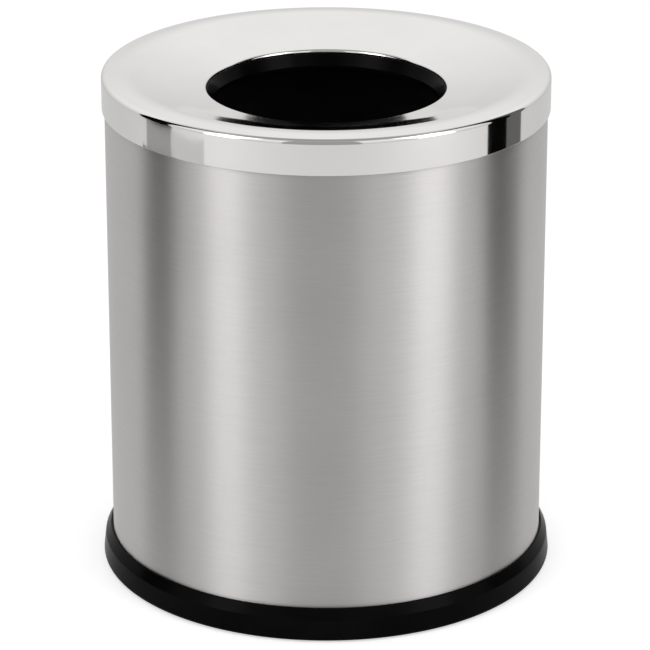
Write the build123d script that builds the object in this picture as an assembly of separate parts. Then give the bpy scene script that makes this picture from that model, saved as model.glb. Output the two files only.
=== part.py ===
from build123d import *
import os
from math import atan, cos, radians, sin, tan

# Open-top wastebasket: a brushed steel shell on a plastic base ring, a plastic bucket
# that hangs inside it, and a polished steel cover with a round mouth that lifts off.
# Millimetres, +Z up, the origin on the floor at the middle of the base.

# Overall sizes
overall_height = 271.0  # floor to the crest of the cover
shell_radius = 115.0  # outside of the brushed shell
shell_wall = 0.7
seat_gap = 0.3  # between a piece that lifts off and its seat
fit_gap = 0.1  # between fixed pieces that hold each other

# Cover, a pressed and polished ring
cover_wall = 0.8
skirt_clearance = 0.6  # from the shell to the inside of the skirt
band_height = 19.3  # skirt's lower edge to the crest
corner_roll = 2.6
land_width = 11.4  # skirt's outside to the crest
land_angle = 6.5  # the land rises inwards to the crest
crest_roll = 24.0
mouth_radius = 62.1
mouth_drop = 9.6  # crest to the mouth, both taken at their sharp corners
dish_sag = 0.4  # how far the dish hollows below a straight cone
dish_curve = 200.0
mouth_roll = 1.5
mouth_lip = 5.7  # turned down into the collar

# Collar, a plastic ring that is pushed onto the mouth's lip
collar_reach = 3.6  # stands inside the mouth
collar_below = 1.4  # its top below the mouth's sharp corner
collar_height = 9.2
collar_leg = 2.4  # outer leg, behind the lip
collar_leg_height = 6.2
collar_slope = 6.2  # height over which the bore widens to the mouth
collar_edge = 1.4

# Shell's inward hem
hem_width = 3.4
hem_depth = 6.0
hem_roll = 1.4

# Base ring, moulded plastic
pad_proud = 0.6
base_stand = 8.0  # ring's foot to the web that the shell stands on
base_flare = 5.5  # shell's outside to the ring's foot, at its sharp corner
base_lip_height = 9.1  # above the web, round the outside of the shell
base_lip_wall = 1.1
base_shoulder_in = 1.3  # shoulder inside the largest radius
base_shoulder_drop = 5.5  # shoulder below the lip's top
base_shoulder_roll = 2.6
base_foot_roll = 2.2
base_wall = 2.6
base_web_width = 19.0
base_rib_count = 8
base_rib_wall = 1.6
base_rib_lift = 1.0  # ribs and inner wall end above the ring's foot

# Bottom plate, a pressed steel pan welded inside the shell
plate_wall = 0.7
plate_rim = 10.0
plate_roll = 2.0
panel_rise = 4.0
panel_inset = 30.0  # plate's edge to the raised panel
panel_ramp = 4.0
panel_roll = 2.0

# Screws that hold the base ring to the bottom plate
screw_count = 4
screw_inset = 10.0  # shell's outside to the screws' middles
screw_radius = 1.75
screw_past = 3.5  # beyond the plate
screw_head_radius = 3.5
screw_head_height = 2.4
screw_slot = 1.0
screw_slot_depth = 1.2
screw_hole_gap = 0.1
boss_wall = 2.8
boss_height = 2.6

# Rubber pads under the base ring
pad_count = 4
pad_inset = 7.0  # shell's outside to the pads' middles
pad_radius = 6.5
pad_height = 3.0
pad_post_wall = 1.5

# Inner bucket, moulded plastic
bucket_wall = 1.8
bucket_flange_inset = 0.8  # flange's edge inside the shell's outside
bucket_clearance = 1.2  # neck inside the shell's hem
bucket_draft = 2.9
bucket_floor_gap = 3.0  # above the bottom plate
bucket_floor_rise = 3.0
bucket_floor_inset = 24.0
bucket_floor_roll = 3.0
bucket_foot_roll = 8.0
bucket_neck_roll = 2.4
hand_hole_count = 2
hand_hole_width = 70.0
hand_hole_height = 20.0
hand_hole_below = 24.0  # its middle below the flange

# Levels and radii that follow from the sizes above
foot_z = pad_proud
web_z = foot_z + base_stand
base_radius = shell_radius + base_flare
base_lip_z = web_z + base_lip_height
shell_bore = shell_radius - shell_wall
hem_bore = shell_radius - hem_width
skirt_bore = shell_radius + skirt_clearance
cover_radius = skirt_bore + cover_wall
crest_radius = cover_radius - land_width
panel_top_z = web_z + panel_rise + plate_wall
screw_circle = shell_radius - screw_inset
pad_circle = shell_radius - pad_inset


def crest_lift():
    """Height of the crest's sharp corner above the rounded crest."""
    fall = (mouth_drop / 2 + dish_sag) / ((crest_radius - mouth_radius) / 2)
    turn = radians(land_angle) + atan(fall)
    back = crest_roll * tan(turn / 2)
    return back * sin(radians(land_angle)) + crest_roll * cos(radians(land_angle)) - crest_roll


crest_z = overall_height + crest_lift()
corner_z = crest_z - land_width * tan(radians(land_angle))
mouth_z = crest_z - mouth_drop
skirt_z = overall_height - band_height

flange_radius = shell_radius - bucket_flange_inset
land_z = crest_z - (flange_radius - crest_radius) * tan(radians(land_angle))
flange_top_z = land_z - cover_wall / cos(radians(land_angle)) - seat_gap
flange_z = flange_top_z - bucket_wall
shell_top_z = flange_z - seat_gap


def offset_corner(before, corner, after, distance):
    """Corner of the line that runs beside before-corner-after, to the left of its way."""
    way_in = (Vector(*corner) - Vector(*before)).normalized()
    way_out = (Vector(*after) - Vector(*corner)).normalized()
    left_in = Vector(-way_in.Y, way_in.X)
    left_out = Vector(-way_out.Y, way_out.X)
    shift = (left_in + left_out) * (distance / (1 + left_in.dot(left_out)))
    turn = way_in.X * way_out.Y - way_in.Y * way_out.X
    return (corner[0] + shift.X, corner[1] + shift.Y), turn


def sheet_ring(points, rolls, wall):
    """Round piece of one wall thickness. The points are its outside, as radius and height,
    in the order that keeps the wall on their left, and rolls are their corners' radii,
    which the wall itself keeps from closing up on the inside."""
    rolls = [max(roll, 1.2 * wall) for roll in rolls]
    first, last = points[0], points[-1]
    lead = (2 * first[0] - points[1][0], 2 * first[1] - points[1][1])
    tail = (2 * last[0] - points[-2][0], 2 * last[1] - points[-2][1])
    extended = [lead] + points + [tail]
    beside = []
    beside_rolls = []
    for before, corner, after in zip(extended, extended[1:], extended[2:]):
        shifted, turn = offset_corner(before, corner, after, wall)
        beside.append(shifted)
        beside_rolls.append(-wall if turn > 0 else wall)
    inner_rolls = [roll + change for roll, change in zip(rolls, beside_rolls[1:-1])]
    outside = FilletPolyline(*points, radius=rolls)
    inside = FilletPolyline(*beside, radius=inner_rolls)
    ends = [Line(points[0], beside[0]), Line(points[-1], beside[-1])]
    return revolved(Plane.XZ * make_face([outside, inside] + ends))


def revolved(section):
    """Full turn of a section about the vertical axis."""
    return revolve(section, Axis.Z)


def rod(radius, low, high):
    """Upright round rod on the axis between two heights."""
    return Pos(0, 0, low) * Cylinder(radius, high - low, align=(Align.CENTER, Align.CENTER, Align.MIN))


def around(count, circle, shape, start=0.0):
    """Copies of a shape, evenly spaced on a circle about the vertical axis."""
    return [loc * shape for loc in PolarLocations(circle, count, start_angle=start)]


def cover_ring():
    """Skirt, corner, land, crest, dish and the lip that is turned down round the mouth."""
    dish_radius = (crest_radius + mouth_radius) / 2
    dish_z = (crest_z + mouth_z) / 2 - dish_sag
    points = [
        (cover_radius, skirt_z),
        (cover_radius, corner_z),
        (crest_radius, crest_z),
        (dish_radius, dish_z),
        (mouth_radius, mouth_z),
        (mouth_radius, mouth_z - mouth_lip),
    ]
    return sheet_ring(points, [corner_roll, crest_roll, dish_curve, mouth_roll], cover_wall)


def mouth_collar():
    """Plastic ring with a groove that the mouth's lip sits in and a bore that narrows."""
    top_z = mouth_z - collar_below
    low_z = top_z - collar_height
    bore = mouth_radius - collar_reach
    lip_in = mouth_radius - fit_gap
    lip_out = mouth_radius + cover_wall + fit_gap
    groove_z = mouth_z - mouth_lip - fit_gap
    leg_z = low_z + collar_leg_height
    outside = lip_out + collar_leg
    rounded = FilletPolyline(
        (lip_in, top_z),
        (bore, top_z - collar_slope),
        (bore, low_z),
        (outside, low_z),
        (outside, leg_z),
        radius=[collar_edge, collar_edge, collar_edge],
    )
    groove = Polyline(
        (outside, leg_z),
        (lip_out, leg_z),
        (lip_out, groove_z),
        (lip_in, groove_z),
        (lip_in, top_z),
    )
    return revolved(Plane.XZ * make_face([rounded, groove]))


def outer_shell():
    """Rolled tube with its top edge hemmed inwards."""
    points = [
        (shell_radius, web_z),
        (shell_radius, shell_top_z),
        (hem_bore, shell_top_z),
        (hem_bore, shell_top_z - hem_depth),
    ]
    return sheet_ring(points, [hem_roll, hem_roll], shell_wall)


def inner_bucket():
    """Tapered bucket that hangs by its flange, with a hand hole on each side."""
    foot_bucket_z = panel_top_z + bucket_floor_gap
    neck_radius = hem_bore - bucket_clearance
    foot_radius = neck_radius - (flange_z - foot_bucket_z) * tan(radians(bucket_draft))
    floor_radius = foot_radius - bucket_floor_inset
    floor_z = foot_bucket_z + bucket_floor_rise
    points = [
        (0, floor_z),
        (floor_radius, floor_z),
        (floor_radius + bucket_floor_rise, foot_bucket_z),
        (foot_radius, foot_bucket_z),
        (neck_radius, flange_z),
        (flange_radius, flange_z),
    ]
    rolls = [bucket_floor_roll, bucket_floor_roll, bucket_foot_roll, bucket_neck_roll]
    body = sheet_ring(points, rolls, bucket_wall)
    slot = extrude(Plane.YZ * SlotOverall(hand_hole_width, hand_hole_height), shell_radius)
    holes = around(hand_hole_count, 0, Pos(0, 0, flange_z - hand_hole_below) * slot)
    return body - holes


def bottom_plate():
    """Steel pan: a raised panel, a flat that rests on the base ring and a rim."""
    edge = shell_bore - fit_gap
    panel = edge - panel_inset
    points = [
        (0, web_z + panel_rise),
        (panel, web_z + panel_rise),
        (panel + panel_ramp, web_z),
        (edge, web_z),
        (edge, web_z + plate_rim),
    ]
    pan = sheet_ring(points, [panel_roll, panel_roll, plate_roll], plate_wall)
    hole = rod(screw_radius + screw_hole_gap, web_z - plate_wall, web_z + 2 * plate_wall)
    return pan - around(screw_count, screw_circle, hole, 180 / screw_count)


def base_ring():
    """Flared ring: a lip round the shell, a web under it, ribs, screw bosses and pad posts."""
    lip_bore = shell_radius + 2 * fit_gap
    web_bore = shell_radius - base_web_width
    web_low_z = web_z - base_wall
    rib_z = foot_z + base_rib_lift
    wall_bore = base_radius - base_wall
    outside = FilletPolyline(
        (wall_bore, foot_z),
        (base_radius, foot_z),
        (base_radius - base_shoulder_in, base_lip_z - base_shoulder_drop),
        (lip_bore + base_lip_wall, base_lip_z),
        radius=[min(base_foot_roll, 0.85 * base_wall), base_shoulder_roll],
    )
    inside = Polyline(
        (lip_bore + base_lip_wall, base_lip_z),
        (lip_bore, base_lip_z),
        (lip_bore, web_z),
        (web_bore, web_z),
        (web_bore, rib_z),
        (web_bore + base_wall, rib_z),
        (web_bore + base_wall, web_low_z),
        (wall_bore, web_low_z),
        (wall_bore, foot_z),
    )
    ring = revolved(Plane.XZ * make_face([outside, inside]))

    rib_length = wall_bore - web_bore
    rib = Pos(0, 0, (rib_z + web_z) / 2) * Box(rib_length, base_rib_wall, web_z - rib_z)
    boss = rod(screw_radius + boss_wall, web_low_z - boss_height, web_z)
    post = rod(pad_radius + pad_post_wall, foot_z, web_z)
    ring += around(base_rib_count, web_bore + rib_length / 2, rib, 180 / base_rib_count)
    ring += around(screw_count, screw_circle, boss, 180 / screw_count)
    ring += around(pad_count, pad_circle, post)

    screw_hole = rod(screw_radius + screw_hole_gap, foot_z, web_z + base_wall)
    pad_cup = rod(pad_radius + fit_gap, foot_z - pad_height, pad_height)
    ring -= around(screw_count, screw_circle, screw_hole, 180 / screw_count)
    ring -= around(pad_count, pad_circle, pad_cup)
    return ring


def base_screws():
    """Cross-slotted screws, driven up through the bosses into the bottom plate."""
    head_top_z = web_z - base_wall - boss_height
    head_low_z = head_top_z - screw_head_height
    tip_z = web_z + plate_wall + screw_past
    head = rod(screw_head_radius, head_low_z, head_top_z)
    head = chamfer(head.edges().group_by(Axis.Z)[0], screw_head_height / 4)
    shank = rod(screw_radius, head_top_z, tip_z)
    shank = chamfer(shank.edges().group_by(Axis.Z)[-1], screw_radius / 2)
    bar = Box(screw_head_radius, screw_slot, 2 * screw_slot_depth)
    screw = head + shank - Pos(0, 0, head_low_z) * (bar + Rot(0, 0, 90) * bar)
    return Compound(around(screw_count, screw_circle, screw, 180 / screw_count))


def foot_pads():
    """Round rubber pads in the cups of the base ring's posts."""
    pad = rod(pad_radius, 0, pad_height)
    return Compound(around(pad_count, pad_circle, pad))


PIECES = [
    cover_ring,
    mouth_collar,
    outer_shell,
    inner_bucket,
    bottom_plate,
    base_ring,
    base_screws,
    foot_pads,
]

os.makedirs("parts", exist_ok=True)
for piece in PIECES:
    export_step(piece(), f"parts/{piece.__name__}.step")
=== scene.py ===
"""Looks of a round open-top wastebasket, worked out round the frame of its solids.

Metres, +Z up, the origin on the floor at the middle of the base, the front towards -Y.
"""

import bmesh
import bpy
import numpy as np
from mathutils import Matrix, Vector


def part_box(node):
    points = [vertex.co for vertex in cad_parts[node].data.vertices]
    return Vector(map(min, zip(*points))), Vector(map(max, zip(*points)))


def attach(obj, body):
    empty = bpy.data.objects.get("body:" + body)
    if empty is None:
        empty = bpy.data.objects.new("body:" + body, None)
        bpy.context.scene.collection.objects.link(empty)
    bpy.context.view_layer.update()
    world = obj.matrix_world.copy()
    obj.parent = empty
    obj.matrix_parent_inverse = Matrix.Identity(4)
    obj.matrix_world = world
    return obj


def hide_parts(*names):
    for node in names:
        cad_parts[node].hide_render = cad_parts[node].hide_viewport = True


bl_info = {
    "name": "Open-top wastebasket",
    "version": (1, 0, 0),
    "blender": (4, 5, 0),
    "location": "View3D > Sidebar > Wastebasket",
    "description": "Builds a steel wastebasket with a lift-off cover and an inner bucket",
    "category": "Object",
}

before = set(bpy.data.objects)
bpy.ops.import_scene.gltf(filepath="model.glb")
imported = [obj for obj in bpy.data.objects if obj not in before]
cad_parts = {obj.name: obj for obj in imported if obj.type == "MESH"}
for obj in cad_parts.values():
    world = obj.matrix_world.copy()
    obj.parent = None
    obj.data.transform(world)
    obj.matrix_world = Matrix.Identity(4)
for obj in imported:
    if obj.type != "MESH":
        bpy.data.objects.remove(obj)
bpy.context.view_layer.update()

SHELL_LOW, SHELL_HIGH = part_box("outer_shell")
COVER_LOW, COVER_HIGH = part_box("cover_ring")
COLLAR_LOW, COLLAR_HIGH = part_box("mouth_collar")
BUCKET_LOW, BUCKET_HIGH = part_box("inner_bucket")
PLATE_LOW, PLATE_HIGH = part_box("bottom_plate")
RING_LOW, RING_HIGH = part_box("base_ring")
PAD_LOW, PAD_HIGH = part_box("foot_pads")


def length(name, description, default):
    """A size in metres."""
    return bpy.props.FloatProperty(
        name=name,
        description=description,
        default=default,
        min=0.0,
        precision=5,
        unit="LENGTH",
    )


def angle(name, description, degrees):
    """An angle, given here in degrees."""
    return bpy.props.FloatProperty(
        name=name,
        description=description,
        default=np.radians(degrees),
        unit="ROTATION",
        subtype="ANGLE",
    )


def share(name, description, default):
    """A plain number from nought to one."""
    return bpy.props.FloatProperty(
        name=name,
        description=description,
        default=default,
        min=0.0,
        max=1.0,
        subtype="FACTOR",
    )


def tone(name, description, default):
    """A colour, as linear red, green and blue."""
    return bpy.props.FloatVectorProperty(
        name=name,
        description=description,
        default=default,
        size=3,
        min=0.0,
        max=1.0,
        subtype="COLOR",
    )


class ShellSizes(bpy.types.PropertyGroup):
    """Rolled steel tube with a hemmed top edge and a ground weld down its back"""

    wall: length("Wall", "Thickness of the steel sheet", 0.0007)
    hem_width: length("Hem width", "Outside of the tube to the bore of the hem", 0.0034)
    hem_depth: length("Hem depth", "How far the hem turns down inside", 0.0060)
    hem_roll: length("Hem roll", "Outside radius of the hem's bends", 0.0014)
    cut_roll: length("Cut edge", "Rounding of the sheet's cut edges", 0.0002)
    weld_width: length("Weld width", "Width of the ground line of the weld", 0.0007)
    weld_depth: length("Weld depth", "How deep the ground line lies", 0.00009)
    weld_side: angle("Weld side", "Direction of the weld, from +X towards +Y", 90.0)


class CoverSizes(bpy.types.PropertyGroup):
    """Pressed and polished cover with a band, a rounded land and a dished mouth"""

    wall: length("Wall", "Thickness of the steel sheet", 0.0008)
    corner_roll: length("Corner roll", "Radius between the band and the land", 0.0026)
    land_width: length("Land width", "Outside of the band to the crest", 0.0114)
    land_rise: angle("Land rise", "Slope of the land up to the crest", 6.5)
    crest_roll: length("Crest roll", "Radius over the crest", 0.0240)
    mouth_radius: length("Mouth radius", "Bore of the mouth", 0.0621)
    mouth_drop: length("Mouth drop", "Crest to mouth, at their sharp corners", 0.0096)
    dish_sag: length("Dish sag", "How far the dish hollows below a cone", 0.0004)
    dish_curve: length("Dish curve", "Radius of the hollow of the dish", 0.2)
    mouth_roll: length("Mouth roll", "Radius where the dish turns down", 0.0015)
    mouth_lip: length("Mouth lip", "Height of the lip that is turned down", 0.0057)
    cut_roll: length("Cut edge", "Rounding of the sheet's cut edges", 0.0003)


class CollarSizes(bpy.types.PropertyGroup):
    """Plastic collar that is pushed onto the lip of the mouth"""

    reach: length("Reach", "How far it stands inside the mouth", 0.0036)
    fit: length("Fit", "Gap to the lip in its groove", 0.0001)
    leg: length("Leg", "Thickness of the leg behind the lip", 0.0024)
    leg_height: length("Leg height", "Height of the leg", 0.0062)
    slope: length("Slope", "Height over which the bore widens upwards", 0.0062)
    edge_roll: length("Edge roll", "Rounding of the shown edges", 0.0014)
    mould_roll: length("Mould edge", "Rounding of the sharp mould edges", 0.00018)


class RingSizes(bpy.types.PropertyGroup):
    """Moulded base ring with ribs, screw bosses and pad posts under its web"""

    flare: length("Flare", "Outside of the shell to the sharp corner of the foot", 0.0055)
    fit: length("Fit", "Gap from the lip to the shell", 0.0002)
    lip_height: length("Lip height", "Height of the lip above the web", 0.0091)
    lip_wall: length("Lip wall", "Thickness of the lip at its top", 0.0011)
    shoulder_in: length("Shoulder inset", "Shoulder inside the foot's corner", 0.0013)
    shoulder_drop: length("Shoulder drop", "Shoulder below the top of the lip", 0.0055)
    shoulder_roll: length("Shoulder roll", "Radius over the shoulder", 0.0026)
    foot_roll: length("Foot roll", "Radius at the foot", 0.0022)
    lip_roll: length("Lip roll", "Rounding of the top of the lip", 0.00045)
    wall: length("Wall", "Thickness of the web and the walls", 0.0026)
    web_width: length("Web width", "Outside of the shell to the bore of the web", 0.0190)
    mould_roll: length("Mould edge", "Rounding of the mould edges", 0.0003)
    rib_wall: length("Rib", "Thickness of a rib", 0.0016)
    rib_lift: length("Rib lift", "Ribs end above the ring's foot", 0.0010)
    ribs: bpy.props.IntProperty(name="Ribs", description="Ribs round the ring", default=8, min=3)
    screws: bpy.props.IntProperty(name="Screws", description="Screws under the ring", default=4, min=3)
    screw_inset: length("Screw inset", "Outside of the shell to a screw", 0.0100)
    boss_radius: length("Boss radius", "Radius of a screw boss", 0.00455)
    boss_height: length("Boss height", "Height of a boss under the web", 0.0026)
    pad_inset: length("Pad inset", "Outside of the shell to a pad's middle", 0.0070)
    post_wall: length("Post wall", "Wall of the cup round a pad", 0.0015)


class PlateSizes(bpy.types.PropertyGroup):
    """Pressed bottom plate with a raised panel and an upright rim"""

    wall: length("Wall", "Thickness of the steel sheet", 0.0007)
    rise: length("Panel rise", "Height of the raised panel", 0.0040)
    inset: length("Panel inset", "Edge of the plate to the panel", 0.0300)
    ramp: length("Panel ramp", "Width of the slope round the panel", 0.0040)
    roll: length("Roll", "Radius of the pressed bends", 0.0020)
    cut_roll: length("Cut edge", "Rounding of the sheet's cut edges", 0.0002)


class BucketSizes(bpy.types.PropertyGroup):
    """Tapered plastic bucket that hangs by its flange"""

    wall: length("Wall", "Thickness of the wall", 0.0018)
    clearance: length("Clearance", "Neck inside the hem of the shell", 0.0012)
    draft: angle("Draft", "Slope of the wall", 2.9)
    floor_rise: length("Floor rise", "Height of the raised floor", 0.0030)
    floor_inset: length("Floor inset", "Foot to the raised floor", 0.0240)
    floor_roll: length("Floor roll", "Radius of the floor's bends", 0.0030)
    foot_roll: length("Foot roll", "Radius between floor and wall", 0.0080)
    neck_roll: length("Neck roll", "Radius between wall and flange", 0.0024)
    edge_roll: length("Edge roll", "Rounding of the moulded edges", 0.0006)
    hole_width: length("Hand hole width", "Width of a hand hole", 0.0700)
    hole_height: length("Hand hole height", "Height of a hand hole", 0.0200)
    hole_below: length("Hand hole depth", "Middle of a hole below the flange", 0.0240)
    patch_margin: length("Patch margin", "Wall that is worked round a hole", 0.0060)


class PadSizes(bpy.types.PropertyGroup):
    """Round rubber pads"""

    radius: length("Radius", "Radius of a pad", 0.0065)
    edge_roll: length("Edge roll", "Rounding of a pad's edges", 0.0005)
    count: bpy.props.IntProperty(name="Pads", description="Pads under the ring", default=4, min=3)
    groove_depth: length("Groove depth", "Depth of the rings in the sole", 0.0003)


class Finishes(bpy.types.PropertyGroup):
    """Colours and finishes of the pieces"""

    brushed: tone("Brushed steel", "Colour of the shell", (0.67, 0.655, 0.645))
    brushed_roughness: share("Brushed roughness", "Roughness of the shell", 0.46)
    brushed_stretch: share("Brushed stretch", "How far reflections are drawn across the lines", 0.95)
    polished: tone("Polished steel", "Colour of the cover", (0.84, 0.83, 0.81))
    polished_roughness: share("Polished roughness", "Roughness of the cover", 0.055)
    rolled: tone("Rolled steel", "Colour of the bottom plate", (0.60, 0.60, 0.60))
    zinc: tone("Zinc", "Colour of the screws", (0.55, 0.55, 0.56))
    black: tone("Black plastic", "Colour of the ring and the collar", (0.0018, 0.0018, 0.002))
    plastic_shine: share("Plastic shine", "Specular level of the plastics", 0.035)
    black_roughness: share("Plastic roughness", "Roughness of the ring and the collar", 0.18)
    bucket: tone("Bucket plastic", "Colour of the bucket", (0.015, 0.015, 0.016))
    rubber: tone("Rubber", "Colour of the pads", (0.02, 0.02, 0.02))


class StageSizes(bpy.types.PropertyGroup):
    """Floor, lamps and camera"""

    distance: length("Distance", "Camera to the axis, level", 1.8)
    height: length("Height", "Camera above the floor", 0.8286)
    aside: bpy.props.FloatProperty(
        name="Aside",
        description="Camera to the right of the axis",
        default=-0.00063,
        precision=5,
        unit="LENGTH",
    )
    pitch: angle("Pitch", "Camera below level", 21.255)
    lens: bpy.props.FloatProperty(
        name="Lens",
        description="Focal length on a sensor 36 mm wide",
        default=201.4,
        unit="CAMERA",
    )
    floor: tone("Floor", "Colour of the floor", (0.86, 0.86, 0.86))
    lit: share("Background", "Light that the floor adds where the camera sees it", 0.56)
    mirrored: share("Mirrored floor", "Light that the floor adds in metal", 0.15)
    horizon: share("Horizon", "Brightness of the surroundings in metal, level", 0.68)
    sky: share("Sky", "Brightness of the surroundings in metal, higher up", 0.95)
    zenith: share("Zenith", "Brightness of the surroundings in metal, overhead", 0.35)
    soft_light: share("Soft light", "Light of the surroundings on matt surfaces", 0.5)


def unit(vectors):
    """Vectors brought to a length of one."""
    return vectors / np.linalg.norm(vectors, axis=-1, keepdims=True)


def rounded(corners, rolls, steps=8, closed=True):
    """Outline of straight runs joined by arcs. An arc touches both runs of its corner: its
    middle is on the bisector, roll / sin(half the corner's angle) away from the corner, and
    its points turn evenly from one touching point to the other. An open outline keeps its
    first and last point. Returns the points and the directions that face out of them, where
    the corners go round the solid with the solid on their left."""
    corners = np.array(corners, float)
    before = np.roll(corners, 1, axis=0)
    after = np.roll(corners, -1, axis=0)
    if not closed:
        corners, before, after = corners[1:-1], before[1:-1], after[1:-1]
    rolls = np.array(rolls, float)[:, None]
    back = unit(before - corners)
    ahead = unit(after - corners)
    half = 0.5 * np.arccos(np.clip((back * ahead).sum(1, keepdims=True), -1, 1))
    middle = corners + unit(back + ahead) * rolls / np.sin(half)
    first = corners + back * rolls / np.tan(half) - middle
    last = corners + ahead * rolls / np.tan(half) - middle
    sweep = np.pi - 2 * half
    part = np.linspace(0, 1, steps + 1)[:, None, None]
    arcs = (first * np.sin((1 - part) * sweep) + last * np.sin(part * sweep)) / np.sin(sweep)
    turn = ahead[:, 1:] * back[:, :1] - ahead[:, :1] * back[:, 1:]
    outward = unit(arcs) * -np.sign(turn)
    points = (middle + arcs).transpose(1, 0, 2).reshape(-1, 2)
    outward = outward.transpose(1, 0, 2).reshape(-1, 2)
    return points, outward


def sheet_corners(points, rolls, wall, cut_roll):
    """Corners and rolls of a bent sheet. The sheet's near side is the given points, and its far
    side is the same run one wall to the left, walked back, each corner moved along its
    bisector so that the wall keeps its thickness. Bends gain or lose the wall in radius."""
    points = np.array(points, float)
    runs = unit(np.diff(points, axis=0))
    left = np.stack([-runs[:, 1], runs[:, 0]], axis=1)
    way_in = np.vstack([left[:1], left])
    way_out = np.vstack([left, left[-1:]])
    shift = (way_in + way_out) * wall / (1 + (way_in * way_out).sum(1, keepdims=True))
    turn = runs[:-1, 0] * runs[1:, 1] - runs[:-1, 1] * runs[1:, 0]
    far_rolls = np.array(rolls) - wall * np.sign(turn)
    corners = np.vstack([points, (points + shift)[::-1]])
    cuts = [cut_roll, cut_roll]
    return corners, np.concatenate([[cut_roll], rolls, cuts, far_rolls[::-1], [cut_roll]])


def turned(points, outward, count=360, turns=None):
    """Surface of revolution: every outline point (radius, height) carried round the axis, with
    its outward direction turned alongside. The outline closes on itself, or begins and ends
    on the axis, where its first and last point become poles."""
    if turns is None:
        turns = np.linspace(0, 2 * np.pi, count, endpoint=False)
    poles = points[0, 0] == 0
    ring = points[1:-1] if poles else points
    facing = outward[1:-1] if poles else outward
    around = np.stack([np.cos(turns), np.sin(turns)], axis=1)
    rows, columns = len(ring), len(turns)
    flat = ring[:, None, :1] * around
    level = np.broadcast_to(ring[:, None, 1:], (rows, columns, 1))
    flat_facing = facing[:, None, :1] * around
    level_facing = np.broadcast_to(facing[:, None, 1:], (rows, columns, 1))
    vertices = np.concatenate([flat, level], axis=2).reshape(-1, 3)
    normals = np.concatenate([flat_facing, level_facing], axis=2).reshape(-1, 3)
    grid = np.arange(rows * columns).reshape(rows, columns)
    beside = np.roll(grid, -1, axis=1)
    low, high = (grid[:-1], grid[1:]) if poles else (grid, np.roll(grid, -1, axis=0))
    low_side, high_side = (beside[:-1], beside[1:]) if poles else (beside, np.roll(beside, -1, axis=0))
    faces = [np.stack([low, low_side, high_side, high], axis=-1).reshape(-1, 4)]
    if poles:
        ends = np.array([[0, 0, points[0, 1]], [0, 0, points[-1, 1]]])
        vertices = np.vstack([vertices, ends])
        normals = np.vstack([normals, [[0, 0, -1], [0, 0, 1]]])
        start = np.full(columns, rows * columns)
        faces.append(np.stack([beside[0], grid[0], start], axis=1))
        faces.append(np.stack([grid[-1], beside[-1], start + 1], axis=1))
    return vertices, normals, faces


def turned_from_axis(points, outward):
    """Outline that begins and ends on the axis, ready to be turned."""
    on_axis = np.array([[0.0, points[0, 1]], [0.0, points[-1, 1]]])
    points = np.vstack([on_axis[:1], points, on_axis[1:]])
    outward = np.vstack([[[0.0, -1.0]], outward, [[0.0, 1.0]]])
    return points, outward


def turned_solid(points, rolls, steps=8, count=64):
    """Solid of revolution whose outline begins and ends on the axis."""
    return turned(*turned_from_axis(*rounded(points, rolls, steps, closed=False)), count=count)


def moved(form, x, y):
    """The same form, moved level."""
    vertices, normals, faces = form
    return vertices + [x, y, 0], normals, faces


def joined(forms):
    """Several forms as one."""
    counts = np.cumsum([0] + [len(form[0]) for form in forms])
    faces = [block + start for form, start in zip(forms, counts) for block in form[2]]
    vertices = np.vstack([form[0] for form in forms])
    normals = np.vstack([form[1] for form in forms])
    return vertices, normals, faces


def fill_mesh(mesh, vertices, faces):
    """Writes corner points and blocks of faces, each block with one number of corners."""
    corners = np.concatenate([block.ravel() for block in faces]).astype(np.int32)
    sizes = np.concatenate([np.full(len(block), block.shape[1]) for block in faces])
    starts = np.concatenate([[0], np.cumsum(sizes)[:-1]]).astype(np.int32)
    mesh.vertices.add(len(vertices))
    mesh.vertices.foreach_set("co", vertices.astype(np.float32).ravel())
    mesh.loops.add(len(corners))
    mesh.loops.foreach_set("vertex_index", corners)
    mesh.polygons.add(len(starts))
    mesh.polygons.foreach_set("loop_start", starts)
    mesh.update(calc_edges=True)
    mesh.polygons.foreach_set("use_smooth", np.ones(len(starts), bool))


def piece(name, form, material, body, node):
    """A finished piece of the object, standing for one node of the frame. A form without
    normals is a closed mesh whose faces still have to be turned outwards."""
    vertices, normals, faces = form
    mesh = bpy.data.meshes.new(name)
    fill_mesh(mesh, vertices, faces)
    if normals is None:
        face_out(mesh)
    else:
        mesh.normals_split_custom_set_from_vertices(unit(normals).astype(np.float32))
    mesh.materials.append(material)
    made = placed(name, mesh)
    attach(made, body)
    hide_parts(node)


def face_out(mesh):
    """Turns every face of a closed mesh outwards."""
    work = bmesh.new()
    work.from_mesh(mesh)
    bmesh.ops.recalc_face_normals(work, faces=work.faces)
    work.to_mesh(mesh)
    work.free()
    mesh.update()


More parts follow.
